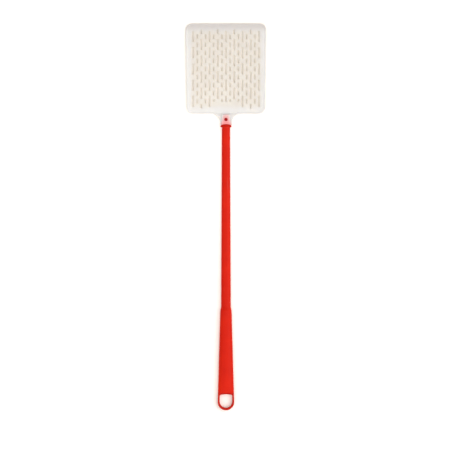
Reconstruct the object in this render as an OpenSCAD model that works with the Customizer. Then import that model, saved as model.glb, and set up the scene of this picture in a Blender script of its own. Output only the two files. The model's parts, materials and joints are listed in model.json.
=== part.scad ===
// Fly swatter lying on its back, in millimetres.
// The origin is on the resting plane under the middle of the swatter. +X runs across the blade,
// +Y from the butt of the handle to the far edge of the blade, and +Z up out of the front face.
// Places along the swatter are distances from the butt until from_butt() moves them into the frame.

/* [Overall] */
// Length from the butt of the handle to the far edge of the blade
overall_length = 450; // [430:1:480]
// Height of the blade's middle plane above the resting plane
blade_plane_z = 3.6; // [3.4:0.1:4.2]

/* [Blade] */
// Width of the blade along its far edge
blade_far_w = 94; // [90:0.5:100]
// Width of the blade along its neck edge
blade_near_w = 91; // [88:0.5:94]
// Length of the blade without its neck
blade_length = 105.2; // [103:0.1:112]
// Radius of the blade's four corners
blade_corner_r = 7.5; // [5:0.5:9]
// Thickness of the perforated sheet
sheet_t = 1.2; // [0.8:0.1:1.4]
// Width of the bead round the edge of the sheet
rim_w = 1.8; // [1.2:0.1:2.4]
// Thickness of the bead round the edge of the sheet
rim_t = 2; // [1.6:0.1:2.4]

/* [Slots] */
// Length of the perforated field
field_l = 92; // [88:0.5:94]
// Columns of long slots on each side of the middle column
side_columns = 4; // [2:1:4]
// Distance between columns of long slots, with a column of short slots midway
column_pitch = 9.58; // [9:0.02:9.7]
// Distance between the long slots of a column
slot_pitch = 18.8; // [18:0.1:19]
// Length of a long slot
long_slot_l = 12.8; // [10:0.1:14]
// Width of a long slot
long_slot_w = 1.7; // [1.2:0.1:2.2]
// Length of a short slot
short_slot_l = 5.2; // [4:0.1:6]
// Width of a short slot
short_slot_w = 1.5; // [1.2:0.1:2]
// Width of the plain apron above the neck
apron_w = 33.6; // [30:0.2:36]
// Length of the plain apron above the neck
apron_l = 14.2; // [12:0.1:16]

/* [Neck] */
// Width of the neck at its mouth
neck_w = 14; // [13:0.1:15]
// Thickness of the neck's sleeve
sleeve_t = 4.8; // [4.4:0.1:5.2]
// Width of the neck's sleeve
sleeve_w = 11.4; // [11:0.1:12]
// Radius of the fillets between the neck and the blade
neck_fillet_r = 10; // [8:0.5:10]
// Gap in the plastic that the thin flexing web bridges
flex_gap = 1.2; // [1:0.1:1.6]
// Thickness of the flexing web
flex_t = 0.7; // [0.5:0.1:1]

/* [Tongue] */
// Distance from the butt to the crown of the collar, where the tongue starts
collar_crown_y = 332.5; // [332:0.1:333]
// Width of the tongue at the collar
tongue_w = 8.5; // [8:0.1:9]
// Radius of the tongue's round tip
tongue_tip_r = 3.4; // [3:0.1:3.8]
// Thickness of the tongue
tongue_t = 2; // [1.6:0.1:2.2]
// Diameter of the snap peg
peg_d = 3.6; // [3:0.1:4]
// Distance of the snap peg from the crown of the collar
peg_y = 5.7; // [5:0.1:6]
// Clearance between the tongue and the sleeve
tongue_gap = 0.15; // [0.1:0.05:0.2]

/* [Collar] */
// Width of the collar
collar_w = 12.9; // [12:0.1:13.5]
// Length of the collar at its crown
collar_l = 3.2; // [3:0.1:4]
// Height of the collar above the resting plane
collar_h = 7.4; // [7.2:0.1:8.4]
// Radius of the collar's arched crown
collar_crown_r = 18; // [16:1:24]

/* [Shaft] */
// Width of the shaft under the collar
shaft_top_w = 9.6; // [9:0.1:10.5]
// Depth of the shaft under the collar
shaft_top_h = 7; // [6.6:0.1:7.4]
// Width of the shaft above the grip
shaft_low_w = 11.3; // [10.5:0.1:12]
// Depth of the shaft above the grip
shaft_low_h = 8.2; // [7.6:0.1:8.8]
// Thickness of the handle's walls
wall = 1.6; // [1.4:0.1:1.8]
// Distance between the cross ribs in the hollow back
rib_pitch = 23; // [18:1:30]

/* [Grip] */
// Distance from the butt to the lower end of the grip's shoulder
shoulder_y = 115; // [105:1:125]
// Length of the shoulder between the grip and the shaft
shoulder_l = 6; // [4:0.5:8]
// Width of the grip at its shoulder
grip_top_w = 13.3; // [12.5:0.1:14]
// Depth of the grip
grip_h = 9.5; // [9:0.1:10.5]

/* [Hang loop] */
// Width of the butt, which ends in a half circle
butt_w = 19.2; // [18:0.2:20]
// Distance from the butt to the end of the loop, where the grip starts
loop_l = 20; // [19.5:0.1:21]
// Height of the loop above the resting plane
loop_h = 6.5; // [5.5:0.1:7]
// Width of the hang hole
hang_hole_w = 14.6; // [14:0.1:15]
// Distance from the butt to the near end of the hang hole
hang_hole_y = 2.8; // [2.6:0.1:3]
// Distance from the butt to the far end of the hang hole
hang_hole_end_y = 18.7; // [18.4:0.1:18.8]
// Radius of the hang hole's arched far end
hang_hole_arch_r = 24.8; // [20:0.2:30]

/* [Hidden] */

$fn = 64;
red = [0.85, 0.12, 0.07];
dark_red = [0.72, 0.08, 0.05];
milky = [0.94, 0.93, 0.9];

// Handle walls: how far ribs run into the walls, their thickness and how far they are set back
overlap = 0.4;
rib_t = 1.2;
rib_recess = 0.8;

// Crowned outline: share of its depth that is straight side, its squareness and its steps
side_h = 0.35;
squareness = 2.6;
arch_steps = 14;
shoulder_steps = 6;

// Grip: its depth where the loop starts, and where it reaches its full depth
grip_end_h = 8.8;
grip_crown_y = loop_l + 7;

// Slots: the shortest one left at an end of the field, and the rows tried each way
min_slot_l = 2.5;
slot_rows = 5;

// How far the middle of the blade lies beyond the middle of the field
field_shift = 0.4;

// Neck: round boss under the peg hole, how far the peg stands out and its chamfer
boss_d = 8;
boss_h = 0.4;
peg_proud = 0.7;
peg_chamfer = 0.5;
sleeve_corner_r = 1.5;
sleeve_end_t = 1;

// Neck: play between its mouth and the collar, distance of the tongue's tip below the blade's edge,
// the thin ends cut off the fillets, and the play beside the neck in the blade's notch
mouth_gap = 0.1;
tongue_tip_gap = 0.8;
flare_trim = 1.6;
notch_play = 0.6;

blade_near_y = overall_length - blade_length;
blade_lean = atan((blade_far_w - blade_near_w) / 2 / blade_length);
shoulder_end_y = shoulder_y + shoulder_l;
collar_y = collar_crown_y - collar_l;
peg_centre_y = collar_crown_y + peg_y;
tongue_tip_y = blade_near_y - tongue_tip_gap;
neck_top_y = tongue_tip_y + sleeve_end_t;
neck_top_w = neck_w + 2 * (neck_fillet_r - flare_trim);
notch_w = neck_top_w + 2 * notch_play;
tongue_z = blade_plane_z - tongue_t / 2;
tongue_top_z = tongue_z + tongue_t;

// The blade turns about this line, across the swatter in the blade's middle plane
hinge_y = neck_top_y + flex_gap / 2;

// Width of the butt and grip at a distance from the butt
function grip_w(y) =
    butt_w + (y - butt_w / 2) * (grip_top_w - butt_w) / (shoulder_y - butt_w / 2);

// Smooth step from 0 to 1
function ease(t) = t * t * (3 - 2 * t);

function mix(a, b, t) = a + (b - a) * t;

// Depth of the grip, which drops a little towards the loop
function grip_depth(y) = mix(grip_end_h, grip_h, ease(min(1, (y - loop_l) / (grip_crown_y - loop_l))));

// Rings of the grip as [distance from the butt, width, depth]
function grip_rings() = concat(
    [for (t = [0:0.25:1]) let (y = mix(loop_l, grip_crown_y, t)) [y, grip_w(y), grip_depth(y)]],
    [
        for (i = [0:shoulder_steps])
            let (t = i / shoulder_steps)
                [
                    mix(shoulder_y, shoulder_end_y, t),
                    mix(grip_top_w, shaft_low_w, ease(t)),
                    mix(grip_h, shaft_low_h, ease(t))
                ]
    ]
);

// Ring of the shaft at a distance from the butt
function shaft_ring(y) =
    let (t = (y - shoulder_end_y) / (collar_y - shoulder_end_y))
        [y, mix(shaft_low_w, shaft_top_w, t), mix(shaft_low_h, shaft_top_h, t)];

// Point of a crowned arch over a base of width w, at an angle round it
function arch_point(w, h, a) =
    let (power = 2 / squareness, foot = side_h * h)
        [
            w / 2 * sign(cos(a)) * pow(abs(cos(a)), power),
            foot + (h - foot) * pow(sin(a), power)
        ];

// Crowned outline standing on the resting plane, from its right foot over to its left foot
function crowned(w, h, foot_z = 0) = concat(
    [[w / 2, foot_z]],
    [for (i = [0:arch_steps]) arch_point(w, h, 180 * i / arch_steps)],
    [[-w / 2, foot_z]]
);

function reversed(list) = [for (i = [len(list) - 1:-1:0]) list[i]];

// Points of a ring placed across the swatter
function placed(ring, outline) = [for (p = outline) [p[0], from_butt(ring[0]), p[1]]];

// The y coordinate of a distance from the butt
function from_butt(y) = y - overall_length / 2;

// Triangles of the skin between rings of n points each
function skin(n, count) = [
    for (k = [0:count - 2])
        for (i = [0:n - 1])
            let (a = k * n + i, b = k * n + (i + 1) % n)
                each [[a, b, b + n], [a, b + n, a + n]]
];

// The same ring further along the swatter
function shifted(ring, by) = [ring[0] + by, ring[1], ring[2]];

// Solid with a crowned front, through rings of [distance from the butt, width, depth]
module loft(rings, inset = 0, foot_z = 0) {
    outlines = [for (r = rings) crowned(r[1] - 2 * inset, r[2] - inset, foot_z)];
    n = len(outlines[0]);
    last = len(rings) - 1;
    polyhedron(
        points = [for (k = [0:last]) each placed(rings[k], outlines[k])],
        faces = concat(
            skin(n, last + 1),
            [[for (i = [n - 1:-1:0]) i]],
            [[for (i = [0:n - 1]) last * n + i]]
        )
    );
}

// Hollow of a handle section, open at its back and past its far end
module hollow(rings) {
    last = len(rings) - 1;
    loft(concat(rings, [shifted(rings[last], 1)]), wall, -1);
}

// Rib across the hollow, set back from the resting plane
module cross_rib(ring) {
    loft([ring, shifted(ring, rib_t)], wall - overlap, rib_recess);
}

// Rectangle with round corners, centred
module rounded_rect(w, h, r) {
    square([w - 2 * r, h], center = true);
    square([w, h - 2 * r], center = true);
    for (x = [-1, 1])
        for (y = [-1, 1])
            translate([x * (w / 2 - r), y * (h / 2 - r)])
                circle(r);
}

// Blade outline from its neck edge at y = 0, moved inwards by an inset
module blade_outline(inset = 0) {
    r = blade_corner_r - inset;
    near = [blade_near_w / 2 + blade_corner_r * (tan(blade_lean) - 1 / cos(blade_lean)), blade_corner_r];
    far = near + (blade_length - 2 * blade_corner_r) * [tan(blade_lean), 1];
    side = r * [cos(blade_lean), -sin(blade_lean)];
    half = [near - [0, r], near + side, far + side, far + [0, r]];
    polygon(concat(half, [for (p = reversed(half)) [-p[0], p[1]]]));
    for (corner = [near, far])
        for (s = [-1, 1])
            translate([s * corner[0], corner[1]])
                circle(r);
}

// Lower end of the perforated field at x, from the middle of the field
function field_low(x) =
    abs(x) < apron_w / 2
        ? apron_l - blade_length / 2 + field_shift
        : -field_l / 2;

// Slots of one column as [x, low end, high end, width], cut short at the ends of the field
function slot_column(x, l, w, pitch, phase) = [
    for (n = [-slot_rows:slot_rows])
        let (
            middle = (n + phase) * pitch,
            low = max(middle - l / 2, field_low(x)),
            high = min(middle + l / 2, field_l / 2)
        )
            if (high - low > min_slot_l)
                [x, low, high, w]
];

function all_slots() = concat(
    [
        for (k = [-side_columns:side_columns])
            each slot_column(k * column_pitch, long_slot_l, long_slot_w, slot_pitch, abs(k) % 2 / 2)
    ],
    [
        for (k = [-side_columns:side_columns - 1])
            each slot_column((k + 0.5) * column_pitch, short_slot_l, short_slot_w, slot_pitch / 2, 0)
    ]
);

// Slot with round ends
module slot_outline(slot) {
    r = slot[3] / 2;
    translate([slot[0] - r, slot[1] + r])
        square([2 * r, slot[2] - slot[1] - 2 * r]);
    for (y = [slot[1] + r, slot[2] - r])
        translate([slot[0], y])
            circle(r);
}

// Tongue outline from the crown of the collar at y = 0, grown by a gap
module tongue_outline(start, grow = 0) {
    tip = tongue_tip_y - collar_crown_y - tongue_tip_r;
    polygon([
        [-tongue_w / 2 - grow, start],
        [tongue_w / 2 + grow, start],
        [tongue_tip_r + grow, tip],
        [-tongue_tip_r - grow, tip]
    ]);
    translate([0, tip])
        circle(tongue_tip_r + grow);
}

// Neck outline in distances from the butt, flared into the blade's edge
module neck_outline() {
    translate([-neck_w / 2, collar_y])
        square([neck_w, neck_top_y - collar_y]);
    difference() {
        translate([-neck_top_w / 2, blade_near_y - neck_fillet_r])
            square([neck_top_w, neck_top_y - blade_near_y + neck_fillet_r]);
        for (s = [-1, 1])
            translate([s * (neck_w / 2 + neck_fillet_r), blade_near_y - neck_fillet_r])
                circle(neck_fillet_r);
    }
}

// Disc whose edge is the arched crown of the collar, moved outwards by a gap
module crown_disc(gap = 0) {
    translate([0, collar_crown_y - collar_crown_r])
        circle(collar_crown_r + gap, $fn = 128);
}

// Stands an outline drawn in distances from the butt between two heights
module between(low_z, high_z) {
    translate([0, from_butt(0), low_z])
        linear_extrude(high_z - low_z)
            children();
}

// Loop at the butt that hangs on a nail or hook
module hang_loop() {
    r = butt_w / 2;
    hole_r = hang_hole_w / 2;
    end_w = grip_w(loop_l);
    color(red)
        between(0, loop_h)
            difference() {
                union() {
                    translate([0, r])
                        circle(r);
                    polygon([[-r, r], [r, r], [end_w / 2, loop_l], [-end_w / 2, loop_l]]);
                }
                intersection() {
                    union() {
                        translate([0, hang_hole_y + hole_r])
                            circle(hole_r);
                        translate([-hole_r, hang_hole_y + hole_r])
                            square([hang_hole_w, hang_hole_end_y - hang_hole_y - hole_r]);
                    }
                    translate([0, hang_hole_end_y - hang_hole_arch_r])
                        circle(hang_hole_arch_r, $fn = 128);
                }
            }
}

// Hollow hand grip, closed towards the loop, with cross ribs in its open back
module grip() {
    end_y = loop_l + wall;
    end_ring = [end_y, grip_w(end_y), grip_depth(end_y)];
    length = shoulder_y - grip_crown_y;
    rib_count = round(length / rib_pitch);
    color(red) {
        difference() {
            loft(grip_rings());
            hollow(concat([end_ring], [for (r = grip_rings()) if (r[0] > end_y) r]));
        }
        for (i = [1:rib_count])
            let (y = grip_crown_y + (i - 0.5) * length / rib_count)
                cross_rib([y, grip_w(y), grip_h]);
    }
}

// Slim hollow shaft with cross ribs in its open back
module shaft() {
    length = collar_y - shoulder_end_y;
    rib_count = round(length / rib_pitch);
    ends = [shaft_ring(shoulder_end_y), shaft_ring(collar_y)];
    color(red) {
        difference() {
            loft(ends);
            hollow(concat([shifted(ends[0], -1)], ends));
        }
        for (i = [1:rib_count])
            cross_rib(shaft_ring(shoulder_end_y + (i - 0.5) * length / rib_count));
    }
}

// Crowned flange that closes the shaft and stops the neck, with the root of the tongue let into it
module collar() {
    color(dark_red)
        difference() {
            intersection() {
                between(-1, collar_h + 1)
                    crown_disc();
                translate([0, from_butt(collar_crown_y), 0])
                    rotate([90, 0, 0])
                        linear_extrude(collar_l)
                            polygon(crowned(collar_w, collar_h));
            }
            tongue_blank();
        }
}

module tongue_blank() {
    translate([0, collar_crown_y, 0])
        between(tongue_z, tongue_top_z)
            tongue_outline(-collar_l);
}

// Flat tongue that the neck is pushed over
module tongue() {
    color(dark_red)
        tongue_blank();
}

// Peg on the tongue that snaps into the neck's hole
module snap_peg() {
    straight_h = blade_plane_z + sleeve_t / 2 + peg_proud - tongue_top_z - peg_chamfer;
    color(dark_red)
        translate([0, from_butt(peg_centre_y), tongue_top_z]) {
            cylinder(d = peg_d, h = straight_h);
            translate([0, 0, straight_h])
                cylinder(d1 = peg_d, d2 = peg_d - 2 * peg_chamfer, h = peg_chamfer);
        }
}

// Hollow neck of the blade, with the flared fillets that lead into the blade
module neck_socket() {
    sleeve_l = neck_top_y - collar_y;
    color(milky)
        difference() {
            union() {
                between(blade_plane_z - rim_t / 2, blade_plane_z + rim_t / 2)
                    neck_outline();
                translate([0, from_butt(neck_top_y), blade_plane_z])
                    rotate([90, 0, 0])
                        linear_extrude(sleeve_l)
                            rounded_rect(sleeve_w, sleeve_t, sleeve_corner_r);
                translate([0, from_butt(peg_centre_y), blade_plane_z])
                    cylinder(d = boss_d, h = sleeve_t / 2 + boss_h);
            }
            between(0, collar_h)
                crown_disc(mouth_gap);
            translate([0, collar_crown_y, 0])
                between(tongue_z - tongue_gap, tongue_top_z + tongue_gap)
                    tongue_outline(-collar_l, tongue_gap);
            translate([0, from_butt(peg_centre_y), blade_plane_z])
                cylinder(d = peg_d + 2 * tongue_gap, h = sleeve_t);
        }
}

// Thin bending strip between the neck and the blade
module flex_web() {
    color(milky)
        between(blade_plane_z - flex_t / 2, blade_plane_z + flex_t / 2)
            translate([0, hinge_y])
                square([neck_top_w, flex_gap], center = true);
}

// Perforated sheet, with a plain apron that ends at the flexing web
module blade_sheet() {
    web_end = hinge_y + flex_gap / 2 - blade_near_y;
    color(milky)
        translate([0, blade_near_y, 0])
            between(blade_plane_z - sheet_t / 2, blade_plane_z + sheet_t / 2)
                difference() {
                    union() {
                        blade_outline(rim_w);
                        translate([-notch_w / 2, web_end])
                            square([notch_w, rim_w]);
                    }
                    translate([0, blade_length / 2 - field_shift])
                        for (slot = all_slots())
                            slot_outline(slot);
                }
}

// Thicker bead round the sheet, open where the neck joins it
module blade_rim() {
    color(milky)
        translate([0, blade_near_y, 0])
            between(blade_plane_z - rim_t / 2, blade_plane_z + rim_t / 2)
                difference() {
                    blade_outline();
                    blade_outline(rim_w);
                    translate([-notch_w / 2, -1])
                        square([notch_w, rim_w + 1]);
                }
}

hang_loop();
grip();
shaft();
collar();
tongue();
snap_peg();
neck_socket();
flex_web();
blade_sheet();
blade_rim();
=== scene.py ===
import json
import math

import bmesh
import bpy
import numpy as np
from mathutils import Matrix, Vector
from mathutils.geometry import delaunay_2d_cdt


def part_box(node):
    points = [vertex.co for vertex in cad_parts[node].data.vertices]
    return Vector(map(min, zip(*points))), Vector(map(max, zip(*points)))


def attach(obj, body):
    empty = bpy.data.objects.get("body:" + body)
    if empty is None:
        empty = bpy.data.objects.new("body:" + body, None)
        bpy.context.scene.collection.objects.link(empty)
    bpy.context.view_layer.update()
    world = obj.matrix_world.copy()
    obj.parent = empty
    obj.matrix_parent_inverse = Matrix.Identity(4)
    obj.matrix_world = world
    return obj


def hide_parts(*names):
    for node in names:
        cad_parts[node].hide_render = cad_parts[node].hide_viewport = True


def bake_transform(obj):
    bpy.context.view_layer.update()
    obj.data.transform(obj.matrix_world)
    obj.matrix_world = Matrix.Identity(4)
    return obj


# Fly swatter lying on its back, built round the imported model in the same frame, in metres.
# +X runs across the blade, +Y from the butt to the blade's far edge, +Z out of the front.
#
# The real object is two mouldings pushed together. The red one is the handle: a hang loop, a hollow
# ribbed grip and shaft, a collar, a tongue and a snap peg. The milky one is the blade: a perforated
# sheet with a bead round it and a hollow neck over the tongue. It bends at the top of its neck.

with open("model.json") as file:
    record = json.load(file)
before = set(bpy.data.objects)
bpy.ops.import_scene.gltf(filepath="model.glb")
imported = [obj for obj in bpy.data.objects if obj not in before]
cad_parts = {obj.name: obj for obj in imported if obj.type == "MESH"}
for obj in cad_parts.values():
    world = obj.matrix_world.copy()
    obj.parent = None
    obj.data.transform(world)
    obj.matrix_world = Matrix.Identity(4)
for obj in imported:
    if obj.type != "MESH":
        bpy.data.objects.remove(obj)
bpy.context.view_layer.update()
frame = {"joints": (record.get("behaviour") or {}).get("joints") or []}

MM = 0.001

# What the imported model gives: lowest and highest corner of each node
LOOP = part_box("hang_loop")
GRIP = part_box("grip")
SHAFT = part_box("shaft")
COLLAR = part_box("collar")
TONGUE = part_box("tongue")
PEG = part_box("snap_peg")
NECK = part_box("neck_socket")
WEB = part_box("flex_web")
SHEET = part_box("blade_sheet")
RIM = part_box("blade_rim")
HINGE = Vector(frame["joints"][0]["pos_m"])

BUTT_Y = LOOP[0].y
LOOP_END_Y = LOOP[1].y
GRIP_END_Y = GRIP[1].y
COLLAR_Y = COLLAR[0].y
CROWN_Y = COLLAR[1].y
NEAR_Y = RIM[0].y
FAR_Y = RIM[1].y
BLADE_Z = HINGE.z

# Hang loop: hole width, its near and far ends, the radii of its arched end and of that end's corners
HOLE_W = 14.6 * MM
HOLE_Y = BUTT_Y + 2.8 * MM
HOLE_END_Y = BUTT_Y + 18.7 * MM
HOLE_ARCH_R = 24.8 * MM
HOLE_CORNER_R = 1.3 * MM

# Rounding of the loop's front edges and back edges, and how far its ends are let into the grip
LOOP_OUTER_R = 1.1 * MM
LOOP_INNER_R = 0.9 * MM
LOOP_BACK_R = 0.4 * MM
LOOP_LET_IN = 1.5 * MM
LOOP_END_INSET = 0.3 * MM

# Grip and shaft: where the grip reaches its full depth, its shoulder, widths, heights and wall
BUTT_W = LOOP[1].x - LOOP[0].x
GRIP_CROWN_Y = LOOP_END_Y + 7 * MM
GRIP_END_H = 8.8 * MM
GRIP_H = GRIP[1].z
SHOULDER_Y = GRIP_END_Y - 6 * MM
GRIP_TOP_W = 13.3 * MM
SHAFT_LOW_W = SHAFT[1].x - SHAFT[0].x
SHAFT_LOW_H = SHAFT[1].z
SHAFT_TOP_W = 9.6 * MM
SHAFT_TOP_H = 7 * MM
WALL = 1.6 * MM

# Their section: a squarish arch on straight sides with rounded feet, and a fine seam where they meet
SIDE_SHARE = 0.35
SQUARENESS = 2.6
ARCH_STEPS = 18
FOOT_R = 0.4 * MM
SEAM_H = 0.06 * MM
SEAM_W = 0.12 * MM

# Rounding of the grip's end, as (distance from the end, inset)
GRIP_END_ROUNDING = ((0, 0.7 * MM), (0.12 * MM, 0.35 * MM), (0.4 * MM, 0.1 * MM), (0.8 * MM, 0))

# Distance between the handle's rings, in general and over the grip's shoulder
RING_SPACING = 5 * MM
SHOULDER_SPACING = 0.6 * MM

# Cross ribs in the hollow back, and the faint sink marks that they leave on the front
RIB_PITCH = 23 * MM
RIB_T = 1.2 * MM
RIB_RECESS = 0.8 * MM
SINK = 0.05 * MM
SINK_REACH = 1.8 * MM

# Rounded face of a rib, as (distance outside the face, share of the hollow that it fills)
RIB_FACE = ((0.47 * MM, 0), (0.19 * MM, 0.03), (0.09 * MM, 0.1),
            (0.01 * MM, 0.9), (-0.09 * MM, 0.97), (-0.3 * MM, 1))

# Collar: radius of its crowned far face, and of its front and back edges
COLLAR_CROWN_R = 18 * MM
COLLAR_EDGE_R = 0.7 * MM
COLLAR_BACK_R = 0.45 * MM

# Tongue and snap peg: rounding, the gap round them in the neck, and the peg's lead-in and dome
TONGUE_TIP_R = 3.4 * MM
TONGUE_EDGE_R = 0.35 * MM
TONGUE_GAP = 0.15 * MM
PEG_CENTRE = (PEG[0] + PEG[1]) / 2
PEG_R = (PEG[1].x - PEG[0].x) / 2
PEG_LEAD_R = 0.5 * MM
PEG_DOME_H = 0.12 * MM
HOLE_CHAMFER = 0.25 * MM

# Blade outline, with the neck's mouth hollowed to fit the collar's crown
BLADE_FAR_W = 94 * MM
BLADE_NEAR_W = 91 * MM
BLADE_L = FAR_Y - NEAR_Y
BLADE_CORNER_R = 7.5 * MM
NECK_HALF_W = 7 * MM
NECK_FILLET_R = 10 * MM
MOUTH_GAP = 0.1 * MM
MOUTH_CORNER_R = 0.8 * MM

# Blade: half thicknesses above and below its middle plane, with the sleeve's and boss's other sizes
SHEET_HALF = (SHEET[1].z - SHEET[0].z) / 2
BEAD_HALF = (RIM[1].z - RIM[0].z) / 2
WEB_HALF = (WEB[1].z - WEB[0].z) / 2
SLEEVE_HALF = 2.4 * MM
SLEEVE_HALF_W = 5.7 * MM
SLEEVE_CORNER_R = 1.5 * MM
BOSS_R = 4 * MM
BOSS_H = NECK[1].z - BLADE_Z - SLEEVE_HALF

# Width of the bead, rounding of the blade's edge, and the fillet where two heights of it meet
BEAD_W = 1.8 * MM
EDGE_R = 0.5 * MM
FILLET = 0.35 * MM

# The bending web: how far its groove reaches along the neck, and where it runs out to the sides
GROOVE_REACH = 0.9 * MM
GROOVE_HALF_W = 14 * MM
GROOVE_END_X = 16 * MM

# How far the thin sheet droops at its far edge, and how deep and how long its faint waves are
DROOP = 0.8 * MM
WARP = 0.2 * MM
WAVE_X = 15 * MM
WAVE_Y = 19 * MM

# Insets, from the blade's edge inwards, of the rows of points that round it and shape its bead
EDGE_INSETS = np.array([0, 0.05, 0.16, 0.32, 0.5, 0.9, 1.3, 1.55, 1.8, 2.05]) * MM

# Slots: the perforated field and how far it lies towards the neck, its columns, the slots' lengths
# and widths, and the plain apron by the neck
FIELD_L = 92 * MM
FIELD_SHIFT = 0.4 * MM
FIELD_Y = NEAR_Y + BLADE_L / 2 - FIELD_SHIFT
SIDE_COLUMNS = 4
COLUMN_PITCH = 9.58 * MM
SLOT_PITCH = 18.8 * MM
LONG_SLOT = (12.8 * MM, 1.7 * MM)
SHORT_SLOT = (5.2 * MM, 1.5 * MM)
APRON_W = 33.6 * MM
APRON_L = 14.2 * MM
MIN_SLOT_L = 2.5 * MM
SLOT_ROWS = 5

# Rounding of a slot's walls from the front to the back, as (growth of the slot, depth below the
# sheet's face). No depth means the middle of the sheet, and a negative one counts from the back.
SLOT_ROUNDING = ((0.08 * MM, 0.05 * MM), (0, 0.22 * MM), (-0.03 * MM, None),
                 (0, -0.22 * MM), (0.08 * MM, -0.05 * MM))

# How far from a slot the flat of the sheet begins
SLOT_MARGIN = 0.25 * MM

# Painted glow of the red tongue's light scattered through the milky neck: how far it spreads by the
# collar, over what distance the spread fades, from where to where its edge is soft, and its strength at
# the tongue's tip
GLOW_SPREAD = 1.6 * MM
GLOW_SPREAD_REACH = 3.5 * MM
GLOW_INSIDE = -1.7 * MM
GLOW_OUTSIDE = 2.1 * MM
GLOW_AT_TIP = 0.52

# Half width and softness of the painted shade by the neck, and its strength
NECK_SHADE_HALF_W = 18 * MM
NECK_SHADE_SOFT = 10 * MM
NECK_SHADE = 0.3


# ---------------------------------------------------------------- numbers and curves

def mix(a, b, t):
    """What lies at t on the way from a, at 0, to b, at 1."""
    return a + (b - a) * t


def ease(t):
    """Smooth step from 0 to 1."""
    t = np.clip(t, 0, 1)
    return t * t * (3 - 2 * t)


def share(value, low, high):
    """How far a value lies on the way from low, at 0, to high, at 1."""
    return (value - low) / (high - low)


def arc(centre, radius, start, end, steps):
    """Points of an arc between two angles in degrees."""
    angles = np.radians(np.linspace(start, end, steps + 1))
    return np.stack([centre[0] + radius * np.cos(angles), centre[1] + radius * np.sin(angles)], 1)


def line(a, b, spacing):
    """Points from a to b, both included, no further apart than a spacing."""
    steps = max(1, math.ceil(math.dist(a, b) / spacing))
    t = np.linspace(0, 1, steps + 1)[:, None]
    return mix(np.array(a, float), np.array(b, float), t)


def spaced(a, b, spacing):
    """Numbers from a to b, both included, no further apart than a spacing."""
    return line((a, 0), (b, 0), spacing)[:, 0]


def joined(*stretches):
    """One list of points through several stretches, without the points that they share."""
    points = [np.array(stretches[0][0], float)]
    for stretch in stretches:
        for point in stretch:
            if np.linalg.norm(point - points[-1]) > 1e-7:
                points.append(np.array(point, float))
    return np.array(points)


def mirrored(right_half):
    """Closed outline from its right half, whose first and last points lie on the middle line."""
    left_half = right_half[-2:0:-1] * np.array([-1, 1])
    return np.concatenate([right_half, left_half])


def moved_in(outline, distance):
    """A counter-clockwise outline moved inwards by a distance, or by one distance per point."""
    ahead = np.roll(outline, -1, 0) - outline
    ahead /= np.linalg.norm(ahead, axis=1)[:, None]
    inward = np.stack([-ahead[:, 1], ahead[:, 0]], 1)
    before = np.roll(inward, 1, 0)
    mitre = (inward + before) / (1 + (inward * before).sum(1))[:, None]
    return outline + mitre * np.broadcast_to(distance, len(outline))[:, None]


# ---------------------------------------------------------------- meshes

def new_piece(name, points, faces):
    """Mesh object with its faces turned outwards, smooth except at edges over 40 degrees."""
    mesh = bpy.data.meshes.new(name)
    mesh.from_pydata([tuple(p) for p in points], [], faces)
    piece = bpy.data.objects.new(name, mesh)
    bpy.context.scene.collection.objects.link(piece)
    finish_mesh(piece)
    return piece


def finish_mesh(piece):
    """Welds, turns faces outwards and sets which edges stay sharp."""
    work = bmesh.new()
    work.from_mesh(piece.data)
    bmesh.ops.remove_doubles(work, verts=work.verts, dist=1e-7)
    bmesh.ops.dissolve_degenerate(work, edges=work.edges, dist=1e-7)
    bmesh.ops.recalc_face_normals(work, faces=work.faces)
    for face in work.faces:
        face.smooth = True
    work.to_mesh(piece.data)
    work.free()
    piece.data.set_sharp_from_angle(angle=math.radians(40))


def strip(lower, upper):
    """Quads between two closed rows of vertex numbers."""
    n = len(lower)
    return [(lower[i], lower[(i + 1) % n], upper[(i + 1) % n], upper[i]) for i in range(n)]


def skin(rings):
    """Vertex numbers of closed rings of points, ring by ring, and the quads between the rings."""
    n = len(rings[0])
    rows = [list(range(k * n, k * n + n)) for k in range(len(rings))]
    faces = []
    for lower, upper in zip(rows, rows[1:]):
        faces += strip(lower, upper)
    return rows, faces


def tube(name, rings, capped=True):
    """Skin through closed rings of points, capped at both ends or closed on itself."""
    rows, faces = skin(rings)
    if capped:
        faces += [rows[0][::-1], rows[-1]]
    else:
        faces += strip(rows[-1], rows[0])
    return new_piece(name, np.concatenate(rings), faces)


def standing(outline, z):
    """Points of an outline at a height."""
    return np.column_stack([outline, np.broadcast_to(z, len(outline))])


def slab(name, outline, low, high, edge_r):
    """Plate with a rounded edge between two heights."""
    turns = np.radians(np.linspace(0, 90, 5))
    rings = [standing(moved_in(outline, edge_r * (1 - math.cos(a))), low + edge_r * (1 - math.sin(a)))
             for a in turns[::-1]]
    rings += [standing(moved_in(outline, edge_r * (1 - math.cos(a))), high - edge_r * (1 - math.sin(a)))
              for a in turns]
    return tube(name, rings)


def turned(name, centre, profile, steps=48):
    """Solid turned about the vertical through a centre, from (radius, height) points."""
    angles = np.linspace(0, 2 * math.pi, steps, endpoint=False)
    rings = [np.stack([centre.x + r * np.cos(angles), centre.y + r * np.sin(angles),
                       np.full(steps, z)], 1) for r, z in profile]
    return tube(name, rings)


def boolean(piece, other, operation):
    """Joins or cuts a piece with another one, which is then removed."""
    modifier = piece.modifiers.new(operation.lower(), "BOOLEAN")
    modifier.operation = operation
    modifier.object = other
    modifier.solver = "EXACT"
    graph = bpy.context.evaluated_depsgraph_get()
    mesh = bpy.data.meshes.new_from_object(piece.evaluated_get(graph))
    piece.modifiers.clear()
    piece.data = mesh
    bpy.data.objects.remove(other)
    finish_mesh(piece)


# ---------------------------------------------------------------- grip and shaft

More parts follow.
